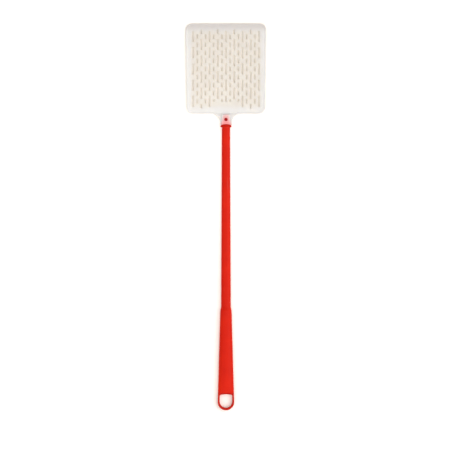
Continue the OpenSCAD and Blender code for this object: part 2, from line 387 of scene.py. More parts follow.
def handle_size(y):
    """Width and height of the grip and shaft at y."""
    if y >= GRIP_END_Y:
        t = share(y, GRIP_END_Y, COLLAR_Y)
        return mix(SHAFT_LOW_W, SHAFT_TOP_W, t), mix(SHAFT_LOW_H, SHAFT_TOP_H, t)
    butt_centre_y = BUTT_Y + BUTT_W / 2
    w = mix(BUTT_W, GRIP_TOP_W, share(min(y, SHOULDER_Y), butt_centre_y, SHOULDER_Y))
    h = mix(GRIP_END_H, GRIP_H, ease(share(y, LOOP_END_Y, GRIP_CROWN_Y)))
    t = ease(share(y, SHOULDER_Y, GRIP_END_Y))
    return mix(w, SHAFT_LOW_W, t), mix(h, SHAFT_LOW_H, t)


def rib_middles():
    """Middle of each cross rib, evenly spaced in the grip and in the shaft."""
    middles = []
    for start, end in [(GRIP_CROWN_Y, SHOULDER_Y), (GRIP_END_Y, COLLAR_Y)]:
        count = round((end - start) / RIB_PITCH)
        middles += [start + (i + 0.5) * (end - start) / count + RIB_T / 2 for i in range(count)]
    return middles


def arch(w, h):
    """Right half of a crowned arch, from its crown to the foot of its curve, as (x, z)."""
    a = np.linspace(math.pi / 2, 0, ARCH_STEPS + 1)
    foot = SIDE_SHARE * h
    x = w / 2 * np.clip(np.cos(a), 0, 1) ** (2 / SQUARENESS)
    z = foot + (h - foot) * np.clip(np.sin(a), 0, 1) ** (2 / SQUARENESS)
    x[0] = 0
    return np.stack([x, z], 1)


def half_section(w, h):
    """Outer and inner right halves of the hollow section, each as (x, z) from top to bottom."""
    outer_arch = arch(w, h)
    side_x, seam_z = outer_arch[-1]
    seam = [(side_x, seam_z), (side_x + SEAM_H, seam_z - SEAM_W / 2), (side_x, seam_z - SEAM_W)]
    foot = arc((side_x - FOOT_R, FOOT_R), FOOT_R, 0, -90, 4)
    outer = joined(outer_arch, seam, foot)
    inner_arch = arch(w - 2 * WALL, h - WALL)
    inner_x, inner_foot_z = inner_arch[-1]
    wall = line((inner_x, inner_foot_z), (inner_x, FOOT_R), inner_foot_z / 3)
    inner_foot = arc((inner_x + FOOT_R, FOOT_R), FOOT_R, 180, 270, 4)
    inner = joined(inner_arch, wall, inner_foot)
    return outer, inner


def section(y, depth=0, solid=False, inset=0, sink=0):
    """Closed ring across the handle at y.

    depth is how far the hollow is filled towards a rib's edge, from 0 to 1. solid fills it down to
    the resting plane. inset shrinks the ring, and sink lowers its crown."""
    w, h = handle_size(y)
    outer, inner = half_section(w - 2 * inset, h - inset)
    crown = ease(share(outer[:, 1], SIDE_SHARE * h, h))
    outer[:, 1] -= sink * crown
    if solid:
        t = np.linspace(0, 1, len(inner))
        inner = np.stack([outer[-1, 0] * t, np.zeros(len(inner))], 1)
    elif depth > 0:
        above = inner[:, 1] > RIB_RECESS
        t = np.linspace(0, 1, above.sum())
        rib = np.stack([inner[above][-1, 0] * t, np.full(above.sum(), RIB_RECESS)], 1)
        inner[above] = mix(inner[above], rib, depth)
    right = np.concatenate([outer, inner[::-1]])
    keep = np.linalg.norm(np.diff(right, axis=0, prepend=right[:1] - 1), axis=1) > 0
    ring = mirrored(right[keep] if not solid else right)
    return np.stack([ring[:, 0], np.full(len(ring), y), ring[:, 1]], 1)


def handle_stations():
    """Where the handle's rings lie along it, each with the arguments of section()."""
    stations = {y: {} for y in spaced(LOOP_END_Y + 2 * WALL, COLLAR_Y - 2 * WALL, RING_SPACING)}
    stations.update({y: {} for y in spaced(SHOULDER_Y, GRIP_END_Y, SHOULDER_SPACING)})
    for middle in rib_middles():
        for y in [y for y in stations if abs(y - middle) < 3 * SINK_REACH]:
            del stations[y]
        for step in (1, 1.8, 2.8):
            for side in (-1, 1):
                stations[middle + side * step * SINK_REACH] = {}
        for outside, depth in RIB_FACE:
            for side in (-1, 1):
                stations[middle + side * (RIB_T / 2 + outside)] = {"depth": depth}
    for y in stations:
        nearest = min(abs(y - middle) for middle in rib_middles())
        stations[y]["sink"] = SINK * math.exp(-((nearest / SINK_REACH) ** 2))
    return stations


def make_handle():
    """Grip and shaft in one skin: crowned front, hollow ribbed back, rounded feet."""
    step = 0.1 * MM  # length of the step from a solid end wall to the hollow
    rings = [section(LOOP_END_Y + y, solid=True, inset=inset) for y, inset in GRIP_END_ROUNDING]
    rings.append(section(LOOP_END_Y + WALL, solid=True))
    rings.append(section(LOOP_END_Y + WALL + step))
    rings += [section(y, **settings) for y, settings in sorted(handle_stations().items())]
    rings.append(section(COLLAR_Y - WALL - step))
    rings.append(section(COLLAR_Y - WALL, solid=True))
    rings.append(section(COLLAR_Y, solid=True))
    handle = tube("grip_and_shaft", rings)
    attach(handle, "handle")
    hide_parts("grip", "shaft")
    return handle


# ---------------------------------------------------------------- hang loop

def loop_outline(let_in):
    """Outer edge of the hang loop, let into the grip's end by a distance."""
    r = BUTT_W / 2
    grip_x = handle_size(LOOP_END_Y)[0] / 2
    end_x = grip_x - LOOP_END_INSET
    end_y = LOOP_END_Y + let_in
    right = joined(
        arc((0, BUTT_Y + r), r, -90, 0, 24),
        line((r, BUTT_Y + r), (grip_x, LOOP_END_Y), 1.1 * MM),
        [(end_x, end_y)],
        line((end_x, end_y), (0, end_y), end_x / 12),
    )
    return mirrored(right)


def hole_outline(count):
    """Edge of the hang hole, with a count of evenly spaced points."""
    r = HOLE_W / 2
    corner_x = r - HOLE_CORNER_R
    arch_y = HOLE_END_Y - HOLE_ARCH_R
    corner_y = arch_y + math.sqrt((HOLE_ARCH_R - HOLE_CORNER_R) ** 2 - corner_x ** 2)
    turn = math.degrees(math.atan2(corner_y - arch_y, corner_x))
    right = joined(
        arc((0, HOLE_Y + r), r, -90, 0, 24),
        line((r, HOLE_Y + r), (r, corner_y), 1.1 * MM),
        arc((corner_x, corner_y), HOLE_CORNER_R, 0, turn, 5),
        arc((0, arch_y), HOLE_ARCH_R, turn, 90, 8),
    )
    lengths = np.concatenate([[0], np.cumsum(np.linalg.norm(np.diff(right, axis=0), axis=1))])
    along = np.linspace(0, 1, count // 2 + 1) * lengths[-1]
    return mirrored(np.stack([np.interp(along, lengths, xy) for xy in right.T], 1))


def make_hang_loop():
    """Ring round the hang hole with rounded edges, its two ends let into the grip."""
    outer = loop_outline(LOOP_LET_IN)
    back = loop_outline(LOOP_BACK_R)
    inner = hole_outline(len(outer))
    high = LOOP[1].z
    turns = np.radians(np.linspace(0, 90, 7))
    rings = []

    def add(outline, inwards, r, edge_z, up, angles):
        """Rings that round one edge; inwards and up are each 1 or -1."""
        for a in angles:
            z = edge_z - up * r * (1 - math.sin(a))
            rings.append(standing(moved_in(outline, inwards * r * (1 - math.cos(a))), z))

    add(back, 1, LOOP_BACK_R, 0, -1, turns[::-1])
    add(outer, 1, LOOP_OUTER_R, high, 1, turns)
    add(inner, -1, LOOP_INNER_R, high, 1, turns[::-1])
    add(inner, -1, LOOP_BACK_R, 0, -1, turns)
    loop = tube("hang_loop_ring", rings, capped=False)
    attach(loop, "handle")
    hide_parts("hang_loop")
    return loop


# ---------------------------------------------------------------- collar, tongue and peg

def crown_y(x):
    """Far face of the collar at x."""
    return CROWN_Y - COLLAR_CROWN_R + np.sqrt(COLLAR_CROWN_R ** 2 - x * x)


def make_collar():
    """Crowned flange with rounded edges and an arched far face."""
    w = COLLAR[1].x - COLLAR[0].x
    high = COLLAR[1].z
    right = arch(w, high)[::-1]
    top = np.concatenate([right, right[-2::-1] * np.array([-1, 1])])
    past_foot = np.clip(np.abs(top[:, 0]) - (w / 2 - FOOT_R), 0, FOOT_R)
    foot = FOOT_R - np.sqrt(FOOT_R ** 2 - past_foot ** 2)
    outline = np.concatenate([top, np.stack([top[:, 0], foot], 1)[::-1]])

    def ring(r, a, face_y, into):
        """Ring at an angle round an edge of radius r; into is 1 or -1, the way into the collar."""
        x, z = moved_in(outline, r * (1 - math.cos(a))).T
        return np.stack([x, face_y(x) + into * r * (1 - math.sin(a)), z], 1)

    rings = [ring(COLLAR_BACK_R, a, lambda x: np.full(len(x), COLLAR_Y), 1)
             for a in np.radians(np.linspace(90, 0, 5))]
    rings += [ring(COLLAR_EDGE_R, a, crown_y, -1) for a in np.radians(np.linspace(0, 90, 7))]
    rows, faces = skin(rings)
    for row in (rows[0], rows[-1]):
        faces += [[row[i], row[i + 1], row[-2 - i], row[-1 - i]] for i in range(len(row) // 2 - 1)]
    collar = new_piece("collar_flange", np.concatenate(rings), faces)
    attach(collar, "handle")
    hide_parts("collar")
    return collar


def tongue_outline(start_y, grow=0):
    """Tongue's outline from a start, counter-clockwise, grown by a gap."""
    root_x = (TONGUE[1].x - TONGUE[0].x) / 2 + grow
    tip_r = TONGUE_TIP_R + grow
    tip_y = TONGUE[1].y - TONGUE_TIP_R
    right = joined(
        line((0, start_y), (root_x, start_y), 1 * MM),
        line((root_x, start_y), (tip_r, tip_y), 1 * MM),
        arc((0, tip_y), tip_r, 0, 90, 16),
    )
    return mirrored(right)


def make_tongue():
    """Flat bar from the collar into the neck, with a round tip."""
    tongue = slab("tongue_blade", tongue_outline(TONGUE[0].y), TONGUE[0].z, TONGUE[1].z, TONGUE_EDGE_R)
    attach(tongue, "handle")
    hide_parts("tongue")
    return tongue


def make_peg():
    """Snap peg with a lead-in round its head and a shallow dome."""
    head_r = PEG_R - PEG_LEAD_R
    rim_z = PEG[1].z - PEG_DOME_H
    profile = [(PEG_R, PEG[0].z), (PEG_R, rim_z - PEG_LEAD_R)]
    profile += [(PEG_R - PEG_LEAD_R * (1 - math.cos(a)), rim_z - PEG_LEAD_R * (1 - math.sin(a)))
                for a in np.radians(np.linspace(15, 90, 6))]
    profile += [(head_r * (1 - t), PEG[1].z - PEG_DOME_H * (1 - t) ** 2) for t in (0.3, 0.6, 0.9)]
    peg = turned("peg_head", PEG_CENTRE, profile)
    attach(peg, "handle")
    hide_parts("snap_peg")
    return peg


# ---------------------------------------------------------------- blade

def blade_outline():
    """Outline of the blade and its neck, from the middle of the mouth, counter-clockwise."""
    lean = math.atan((BLADE_FAR_W - BLADE_NEAR_W) / 2 / BLADE_L)
    lean_deg = math.degrees(lean)
    near = np.array([BLADE_NEAR_W / 2 + BLADE_CORNER_R * (math.tan(lean) - 1 / math.cos(lean)),
                     NEAR_Y + BLADE_CORNER_R])
    far = near + (BLADE_L - 2 * BLADE_CORNER_R) * np.array([math.tan(lean), 1])
    fillet = (NECK_HALF_W + NECK_FILLET_R, NEAR_Y - NECK_FILLET_R)
    mouth_r = COLLAR_CROWN_R + MOUTH_GAP
    mouth_centre_y = CROWN_Y - COLLAR_CROWN_R
    turn = math.asin((NECK_HALF_W - MOUTH_CORNER_R) / (mouth_r + MOUTH_CORNER_R))
    mouth = arc((0, mouth_centre_y), mouth_r, 90, 90 - math.degrees(turn), 15)
    corner_y = mouth_centre_y + (mouth_r + MOUTH_CORNER_R) * math.cos(turn)
    corner = arc((NECK_HALF_W - MOUTH_CORNER_R, corner_y), MOUTH_CORNER_R, -90 - math.degrees(turn), 0, 6)
    near_corner = arc(near, BLADE_CORNER_R, -90, -lean_deg, 14)
    far_corner = arc(far, BLADE_CORNER_R, -lean_deg, 90, 14)
    right = joined(
        mouth,
        corner,
        line(corner[-1], (NECK_HALF_W, fillet[1]), 0.5 * MM),
        arc(fillet, NECK_FILLET_R, 180, 90, 26),
        line((fillet[0], NEAR_Y), near_corner[0], 2 * MM),
        near_corner,
        line(near_corner[-1], far_corner[0], 2 * MM),
        far_corner,
        line(far_corner[-1], (0, FAR_Y), 2 * MM),
    )
    return mirrored(right)


def field_low(x):
    """Lower end of the perforated field at x, from the middle of the field."""
    if abs(x) < APRON_W / 2:
        return APRON_L - BLADE_L / 2 + FIELD_SHIFT
    return -FIELD_L / 2


def slot_column(x, size, pitch, phase):
    """Slots of one column as (x, low end, high end, width), cut short at the field's ends."""
    length, width = size
    slots = []
    for n in range(-SLOT_ROWS, SLOT_ROWS + 1):
        middle = (n + phase) * pitch
        low = max(middle - length / 2, field_low(x))
        high = min(middle + length / 2, FIELD_L / 2)
        if high - low > MIN_SLOT_L:
            slots.append((x, low + FIELD_Y, high + FIELD_Y, width))
    return slots


def all_slots():
    """Columns of long slots, with columns of short ones midway between them."""
    slots = []
    for k in range(-SIDE_COLUMNS, SIDE_COLUMNS + 1):
        slots += slot_column(k * COLUMN_PITCH, LONG_SLOT, SLOT_PITCH, abs(k) % 2 / 2)
    for k in range(-SIDE_COLUMNS, SIDE_COLUMNS):
        slots += slot_column((k + 0.5) * COLUMN_PITCH, SHORT_SLOT, SLOT_PITCH / 2, 0)
    return slots


def slot_outline(slot):
    """Slot with round ends, counter-clockwise."""
    x, low, high, width = slot
    r = width / 2
    return joined(
        arc((x, high - r), r, 0, 180, 10),
        line((x - r, high - r), (x - r, low + r), 1.5 * MM),
        arc((x, low + r), r, 180, 360, 10),
        line((x + r, low + r), (x + r, high - r), 1.5 * MM),
    )[:-1]


def smooth_max(a, b, blend):
    """The larger of two heights, with a small fillet where they cross."""
    h = np.clip(0.5 + 0.5 * (a - b) / blend, 0, 1)
    return mix(b, a, h) + blend * h * (1 - h)


def half_thickness(x, y, inset):
    """Half the blade's thickness at points that lie an inset from its edge."""
    neck = 1 - ease(share(y, NEAR_Y - 3 * MM, NEAR_Y))
    base = mix(SHEET_HALF, BEAD_HALF, neck)
    across = 1 - ease(share(np.abs(x), GROOVE_HALF_W, GROOVE_END_X))
    groove = np.clip(1 - np.abs(y - HINGE.y) / GROOVE_REACH, 0, 1)
    base = base - (SHEET_HALF - WEB_HALF) * ease(groove) * across
    bead = ease(share(inset, BEAD_W + 0.25 * MM, BEAD_W - 0.5 * MM))
    half = np.maximum(base, mix(base, BEAD_HALF, bead))
    off_middle = np.clip(np.abs(x) - (SLEEVE_HALF_W - SLEEVE_CORNER_R), 0, SLEEVE_CORNER_R)
    sleeve = SLEEVE_HALF - SLEEVE_CORNER_R + np.sqrt(SLEEVE_CORNER_R ** 2 - off_middle ** 2)
    sleeve = np.where(np.abs(x) < SLEEVE_HALF_W, sleeve, 0)
    sleeve = sleeve * (1 - ease(share(y, NECK[1].y - 1.2 * MM, NECK[1].y + 0.2 * MM)))
    half = smooth_max(half, sleeve, FILLET)
    near_edge = np.clip(EDGE_R - inset, 0, EDGE_R)
    return half - (EDGE_R - np.sqrt(EDGE_R ** 2 - near_edge ** 2))


def boss(x, y):
    """Height of the round boss on the front of the neck."""
    r = np.hypot(x - PEG_CENTRE.x, y - PEG_CENTRE.y)
    return BOSS_H * (1 - ease(share(r, BOSS_R - 0.4 * MM, BOSS_R)))


def warp(x, y):
    """How the thin sheet lies off its plane: a slight droop and a faint wave."""
    out = np.clip(share(y, NEAR_Y + 12 * MM, FAR_Y), 0, 1)
    wave = np.sin(x / WAVE_X + 0.6) * np.sin(y / WAVE_Y + 1.1)
    return -DROOP * out ** 2 + WARP * wave * ease(3 * out)


def distance_to_outline(points, outline):
    """Distance of each point from a closed outline."""
    a = outline[None, :, :]
    b = np.roll(outline, -1, 0)[None, :, :]
    p = points[:, None, :]
    t = np.clip(((p - a) * (b - a)).sum(2) / ((b - a) ** 2).sum(2), 0, 1)
    return np.linalg.norm(p - (a + (b - a) * t[:, :, None]), axis=2).min(1)


def distance_to_slots(points, slots):
    """Distance of each point from the nearest slot's edge."""
    nearest = np.full(len(points), 1.0)
    for x, low, high, width in slots:
        r = width / 2
        dy = points[:, 1] - np.clip(points[:, 1], low + r, high - r)
        nearest = np.minimum(nearest, np.hypot(points[:, 0] - x, dy) - r)
    return nearest


def grid(x_low, x_high, y_low, y_high, dx, dy):
    """Points of a rectangle, about dx and dy apart."""
    xs = np.linspace(x_low, x_high, max(2, round((x_high - x_low) / dx) + 1))
    ys = np.linspace(y_low, y_high, max(2, round((y_high - y_low) / dy) + 1))
    return np.stack(np.meshgrid(xs, ys), -1).reshape(-1, 2)


def inner_points(edge, slots):
    """Points inside the blade that carry its thickness, closer together where it changes."""
    mouth_y = CROWN_Y - 1 * MM
    neck_end = NECK[1].y
    apron_end = NEAR_Y + 12 * MM
    flare_x = 18 * MM
    sheet_x = 44 * MM
    sleeve = grid(-SLEEVE_HALF_W, SLEEVE_HALF_W, mouth_y, neck_end, 0.38 * MM, 0.45 * MM)
    near_boss = np.hypot(sleeve[:, 0], sleeve[:, 1] - PEG_CENTRE.y) < BOSS_R + 0.5 * MM
    zones = [sleeve[~near_boss]]
    for r in (2.5, 3, 3.4, 3.6, 3.75, 3.9, 4.05, 4.3):
        zones.append(arc((PEG_CENTRE.x, PEG_CENTRE.y), r * MM, 0, 360, 48)[:-1])
    for side in (-1, 1):
        flare = grid(SLEEVE_HALF_W + 0.4 * MM, flare_x, mouth_y, neck_end, 0.6 * MM, 0.6 * MM)
        zones.append(flare * np.array([side, 1]))
    zones += [
        grid(-flare_x, flare_x, neck_end + 0.05 * MM, HINGE.y + 1.1 * MM, 0.9 * MM, 0.17 * MM),
        grid(-sheet_x, sheet_x, HINGE.y + 1.5 * MM, apron_end, 1.6 * MM, 0.8 * MM),
        grid(-sheet_x, sheet_x, apron_end + 1.5 * MM, FAR_Y - 3 * MM, 2.3 * MM, 2.4 * MM),
    ]
    points = np.concatenate(zones)
    points = points[inside_outline(points, edge)]
    points = points[distance_to_outline(points, edge) > 0.25 * MM]
    return points[distance_to_slots(points, slots) > 0.6 * MM]


def inside_outline(points, outline):
    """Which points lie inside a closed outline."""
    inside = np.zeros(len(points), bool)
    for (ax, ay), (bx, by) in zip(outline, np.roll(outline, -1, 0)):
        crosses = (ay > points[:, 1]) != (by > points[:, 1])
        if ay != by:
            at_x = ax + (points[:, 1] - ay) * (bx - ax) / (by - ay)
            inside ^= crosses & (points[:, 0] < at_x)
    return inside


def blade_skin():
    """Points and faces of the blade: front and back sheets joined round every edge."""
    outline = blade_outline()
    squeeze = mix(0.35, 1, ease(share(outline[:, 1], NEAR_Y - 6 * MM, NEAR_Y - 1 * MM)))
    edge_rows = [(moved_in(outline, inset * squeeze), inset * squeeze) for inset in EDGE_INSETS[::-1]]
    slots = all_slots()
    edge = edge_rows[0][0]
    fill = inner_points(edge, slots)

    flat, flat_inset, loops = [], [], []

    def add_flat(points, inset):
        """Adds points of the middle plane, with their insets, and returns their numbers."""
        first = sum(len(f) for f in flat)
        flat.append(points)
        flat_inset.append(np.broadcast_to(inset, len(points)))
        return list(range(first, first + len(points)))

    loops.append(add_flat(edge, edge_rows[0][1]))
    slot_edges = [slot_outline(slot) for slot in slots]
    for outline_of_slot in slot_edges:
        loops.append(add_flat(moved_in(outline_of_slot, -SLOT_MARGIN), 1))
    add_flat(fill, 1)
    flat = np.concatenate(flat)
    flat_inset = np.concatenate(flat_inset)

    scaled = [Vector(p / MM) for p in flat]
    _, _, triangles, origins, _, owners = delaunay_2d_cdt(scaled, [], loops, 1, 1e-6)
    source = [ids[0] for ids in origins]
    plane = [[source[v] for v in t] for t, owner in zip(triangles, owners) if list(owner) == [0]]

    points, faces = [], []

    def add(xy, height):
        """Adds points of the skin at a height over the middle plane and returns their numbers."""
        first = sum(len(p) for p in points)
        points.append(np.column_stack([xy, BLADE_Z + height + warp(xy[:, 0], xy[:, 1])]))
        return list(range(first, first + len(xy)))

    def height(xy, inset, side):
        """Height of the front (side 1) or the back (side -1) over the middle plane."""
        h = half_thickness(xy[:, 0], xy[:, 1], inset)
        return h + boss(xy[:, 0], xy[:, 1]) if side > 0 else -h

    sheets = {side: add(flat, height(flat, flat_inset, side)) for side in (1, -1)}
    for side in (1, -1):
        faces += [[sheets[side][v] for v in t] for t in plane]

    def wrap(loop, rows):
        """Joins the front sheet to the back sheet round one edge, through rows of points."""
        numbers = [[sheets[1][v] for v in loop]] + rows + [[sheets[-1][v] for v in loop]]
        for lower, upper in zip(numbers, numbers[1:]):
            faces.extend(strip(lower, upper))

    front = [add(xy, height(xy, inset, 1)) for xy, inset in edge_rows[1:]]
    middle = add(edge_rows[-1][0], np.zeros(len(outline)))
    back = [add(xy, height(xy, inset, -1)) for xy, inset in edge_rows[:0:-1]]
    wrap(loops[0], front + [middle] + back)

    for loop, slot_edge in zip(loops[1:], slot_edges):
        rows = []
        for grow, drop in SLOT_ROUNDING:
            xy = moved_in(slot_edge, -grow)
            if drop is None:
                rows.append(add(xy, np.zeros(len(xy))))
            else:
                side = 1 if drop > 0 else -1
                rows.append(add(xy, height(xy, 1, side) - drop))
        wrap(loop, rows)
    return np.concatenate(points), faces


def paint(piece, name, values):
    """Stores one number per vertex, for the materials."""
    attribute = piece.data.attributes.new(name, "FLOAT", "POINT")
    attribute.data.foreach_set("value", values.astype(np.float32))


def paint_blade(blade):
    """Where the tongue's painted glow lies, where the sheet is perforated, and where painted shade
    darkens it.
    """
    xy = np.array([v.co for v in blade.data.vertices])[:, :2]
    x, y = np.abs(xy[:, 0]), xy[:, 1]

    # Painted glow: pink where the tongue's red light scatters through the neck, painted into the colour
    # and spreading past the tongue
    shape = tongue_outline(TONGUE[0].y)
    away = distance_to_outline(xy, shape) * np.where(inside_outline(xy, shape), -1, 1)
    past_crown = np.clip(y - CROWN_Y, 0, None)
    spread = GLOW_SPREAD * np.exp(-((past_crown / GLOW_SPREAD_REACH) ** 2))
    soft = 1 - ease(share(away - spread, GLOW_INSIDE, GLOW_OUTSIDE))
    along = np.clip(past_crown / (TONGUE[1].y - CROWN_Y), 0, 1)
    paint(blade, "tongue_glow", soft * mix(1, GLOW_AT_TIP, along ** 1.5))

    side = ease(share(FIELD_L / 2 - x - 4 * MM, -1 * MM, 4 * MM))
    end = ease(share(FIELD_L / 2 - np.abs(y - FIELD_Y), -2 * MM, 5 * MM))
    paint(blade, "perforated", side * end)

    # Painted shade: the sheet's far end and the plastic round the neck are drawn greyer, as if less light
    # fell there
    far = ease(share(y - FIELD_Y - FIELD_L / 2, -4 * MM, 4 * MM))
    near = ease(share(NEAR_Y - y, -7 * MM, 1 * MM))
    middle = ease(share(NECK_SHADE_HALF_W - x, 0, NECK_SHADE_SOFT))
    paint(blade, "painted_shade", np.maximum(far, NECK_SHADE * near * middle))


def make_blade():
    """Perforated sheet, bead, living hinge and hollow neck in one skin, thinned along the hinge."""
    points, faces = blade_skin()
    blade = new_piece("blade_and_neck", points, faces)
    cavity = slab("cavity", tongue_outline(COLLAR_Y, TONGUE_GAP), TONGUE[0].z - TONGUE_GAP,
                  TONGUE[1].z + TONGUE_GAP, TONGUE_EDGE_R)
    boolean(blade, cavity, "DIFFERENCE")
    hole_r = PEG_R + TONGUE_GAP
    top = NECK[1].z
    hole = turned("hole", PEG_CENTRE, [(hole_r, BLADE_Z), (hole_r, top - HOLE_CHAMFER),
                                       (hole_r + 2 * HOLE_CHAMFER, top + HOLE_CHAMFER)])
    boolean(blade, hole, "DIFFERENCE")
    paint_blade(blade)
    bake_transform(blade)
    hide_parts("neck_socket", "flex_web", "blade_sheet", "blade_rim")
    return blade


# ---------------------------------------------------------------- materials

HANDLE_RED = (0.68, 0.01, 0.0008)
# Painted shade: the hang loop's ring is the same red moulding as the grip, drawn darker to stand in for
# the shade it sits in
SHADED_RING_RED = (0.55, 0.011, 0.0025)
# Painted shade: the collar and tongue are the same red moulding as the shaft, drawn darker to stand in
# for shade on the collar
SHADED_COLLAR_RED = (0.56, 0.008, 0.0008)
# Painted shade: the peg is drawn darker, as if shadowed down in its hole
SHADED_PEG_RED = (0.38, 0.005, 0.006)
RUBBED_RED = (0.78, 0.12, 0.07)
SCUFFED_RED = (0.75, 0.14, 0.1)

# Darkest and lightest tone of each red, as shares of its colour
DEEP_TONE = 0.86
LIGHT_TONE = (1.04, 1.5, 1.6)

# Two tones each of the plain milky plastic, of the perforated field, and of the floor
PLAIN_MILK = ((0.79, 0.785, 0.775), (0.83, 0.825, 0.815))
FIELD_MILK = ((0.765, 0.725, 0.665), (0.805, 0.77, 0.71))
FLOOR_WHITE = ((0.93, 0.91, 0.87), (0.95, 0.93, 0.89))

# The milky plastic darkened by painted shade, pink with the tongue's painted glow, and lit from behind,
# with the last one's share
SHADED_MILK = (0.67, 0.64, 0.625)
TONGUE_GLOW_PINK = (0.93, 0.34, 0.34)
THROUGH_MILK = (0.9, 0.8, 0.66)
THROUGH_SHARE = 0.22

FLOOR_GLOW = (1, 0.86, 0.7)
FLOOR_GLOW_STRENGTH = 0.16


class Nodes:
    """Short calls for the nodes of one material."""

    def __init__(self, name):
        self.material = bpy.data.materials.new(name)
        self.material.use_nodes = True
        self.tree = self.material.node_tree
        self.shader = self.tree.nodes["Principled BSDF"]

    def add(self, kind, **settings):
        node = self.tree.nodes.new(kind)
        for key, value in settings.items():
            setattr(node, key, value)
        return node

    def link(self, output, target):
        self.tree.links.new(output, target)

    def place(self, scale):
        """Coordinates of the piece in metres, stretched by a scale."""
        coordinates = self.add("ShaderNodeTexCoord")
        mapping = self.add("ShaderNodeMapping")
        mapping.inputs["Scale"].default_value = scale
        self.link(coordinates.outputs["Object"], mapping.inputs["Vector"])
        return mapping.outputs["Vector"]

    def noise(self, scale, detail, stretch=(1, 1, 1)):
        """Cloudy noise of a scale per metre; a stretch under 1 draws it out along that axis."""
        noise = self.add("ShaderNodeTexNoise")
        noise.inputs["Scale"].default_value = scale
        noise.inputs["Detail"].default_value = detail
        self.link(self.place(stretch), noise.inputs["Vector"])
        return noise.outputs["Fac"]

    def attribute(self, name):
        """A number that paint() stored on the piece."""
        return self.add("ShaderNodeAttribute", attribute_name=name).outputs["Fac"]

    def span(self, value, low, high, to_low=0.0, to_high=1.0):
        """A value moved from one range to another and held inside it."""
        node = self.add("ShaderNodeMapRange", clamp=True)
        limits = {"From Min": low, "From Max": high, "To Min": to_low, "To Max": to_high}
        for key, number in limits.items():
            node.inputs[key].default_value = number
        self.link(value, node.inputs["Value"])
        return node.outputs["Result"]

    def math(self, operation, a, b):
        """Sum, product or the like of two values, each a number or the output of a node."""
        node = self.add("ShaderNodeMath", operation=operation)
        for socket, value in zip(node.inputs, (a, b)):
            if isinstance(value, (int, float)):
                socket.default_value = value
            else:
                self.link(value, socket)
        return node.outputs[0]

    def colours(self, share_of_b, a, b):
        """A mix of two colours, each a colour or the output of a node."""
        node = self.add("ShaderNodeMix", data_type="RGBA")
        self.link(share_of_b, node.inputs["Factor"])
        for socket, value in ((node.inputs[6], a), (node.inputs[7], b)):
            if isinstance(value, tuple):
                socket.default_value = (*value, 1)
            else:
                self.link(value, socket)
        return node.outputs[2]

    def bump(self, heights):
        """Bumps laid over each other, each as (height output, depth in metres)."""
        normal = None
        for height, depth in heights:
            node = self.add("ShaderNodeBump")
            node.inputs["Strength"].default_value = 1
            node.inputs["Distance"].default_value = depth
            self.link(height, node.inputs["Height"])
            if normal is not None:
                self.link(normal, node.inputs["Normal"])
            normal = node.outputs["Normal"]
        self.link(normal, self.shader.inputs["Normal"])


def red_plastic(name, colour, worn):
    """Moulded polypropylene: flow streaks, fine grain, rubbed edges and light scuffs."""
    m = Nodes(name)
    streaks = m.noise(140, 4, stretch=(1, 0.06, 1))
    mottle = m.noise(55, 3)
    grain = m.noise(2600, 2)
    scuffs = m.span(m.noise(900, 2, stretch=(1, 0.05, 1)), 0.62, 0.72)
    patches = m.span(m.noise(38, 2), 0.45, 0.65)
    rubbed = m.math("MULTIPLY", scuffs, patches)
    pointiness = m.add("ShaderNodeNewGeometry").outputs["Pointiness"]
    edges = m.math("MULTIPLY", m.span(pointiness, 0.53, 0.62), m.span(m.noise(300, 3), 0.35, 0.65))
    deep = tuple(DEEP_TONE * c for c in colour)
    light = tuple(tone * c for tone, c in zip(LIGHT_TONE, colour))
    base = m.colours(m.span(m.math("ADD", streaks, mottle), 0.7, 1.3), deep, light)
    base = m.colours(m.math("MULTIPLY", edges, 0.35 * worn), base, RUBBED_RED)
    base = m.colours(m.math("MULTIPLY", rubbed, 0.22 * worn), base, SCUFFED_RED)
    m.link(base, m.shader.inputs["Base Color"])
    rough = m.math("ADD", m.span(mottle, 0.3, 0.7, 0.38, 0.47), m.math("MULTIPLY", rubbed, 0.15))
    m.link(rough, m.shader.inputs["Roughness"])
    m.shader.inputs["Specular IOR Level"].default_value = 0.1
    m.bump([(streaks, 0.04 * MM), (grain, 0.012 * MM), (scuffs, 0.006 * MM)])
    return m.material


